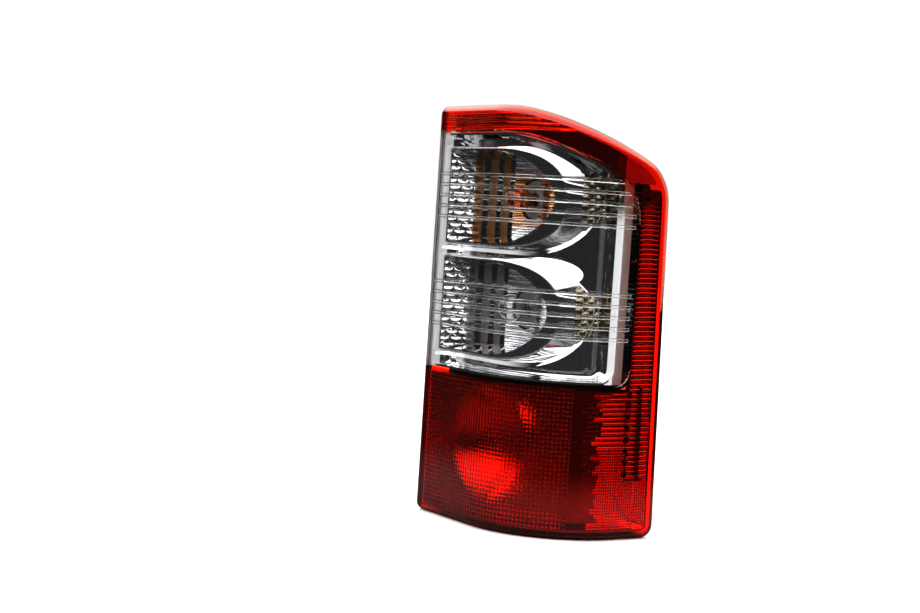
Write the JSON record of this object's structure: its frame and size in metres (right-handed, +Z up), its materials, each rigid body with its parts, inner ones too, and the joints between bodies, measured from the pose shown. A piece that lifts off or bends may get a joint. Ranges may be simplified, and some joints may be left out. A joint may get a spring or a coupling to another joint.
{
  "type": "tail light cluster",
  "caption": "Tall wraparound rear lamp for a car corner: red lens with a clear window over a bright bezel with bullet-shaped bowls, black housing and zinc-plated brackets.",
  "frame": {"origin": "on the body panel, midway between the two bracket bolt holes", "axes": "+X outboard, -Y to the road behind the car, +Z up"},
  "size_m": [0.192, 0.162, 0.4],
  "materials": {
    "red_lens": "polished, see-through",
    "clear_lens": "polished, see-through",
    "bright_trim": "bright metallised plastic",
    "housing": "moulded black plastic",
    "amber_glass": "amber coated glass",
    "bulb_glass": "clear glass",
    "bulb_cap": "plated",
    "filament": "drawn wire",
    "holder": "moulded grey plastic",
    "terminals": "pressed brass",
    "bracket": "yellow zinc plate",
    "screws": "zinc plate",
    "rubber": "moulded rubber"
  },
  "bodies": {
    "root": {"bezel_screws": "screws", "bracket_screws": "screws", "breather_cap": "rubber", "clear_lens": "clear_lens", "indicator_bulb_cap": "bulb_cap", "indicator_bulb_glass": "amber_glass", "indicator_filament": "filament", "indicator_holder": "holder", "indicator_holder_seal": "rubber", "indicator_terminals": "terminals", "lamp_housing": "housing", "lens_seal": "rubber", "lower_bracket": "bracket", "red_lens": "red_lens", "reflector_bezel": "bright_trim", "reflector_screws": "screws", "reverse_bulb_cap": "bulb_cap", "reverse_bulb_glass": "bulb_glass", "reverse_filament": "filament", "reverse_holder": "holder", "reverse_holder_seal": "rubber", "reverse_terminals": "terminals", "stop_bulb_cap": "bulb_cap", "stop_bulb_glass": "bulb_glass", "stop_filament": "filament", "stop_holder": "holder", "stop_holder_seal": "rubber", "stop_reflector": "bright_trim", "stop_terminals": "terminals", "upper_bracket": "bracket"}
  },
  "joints": []
}
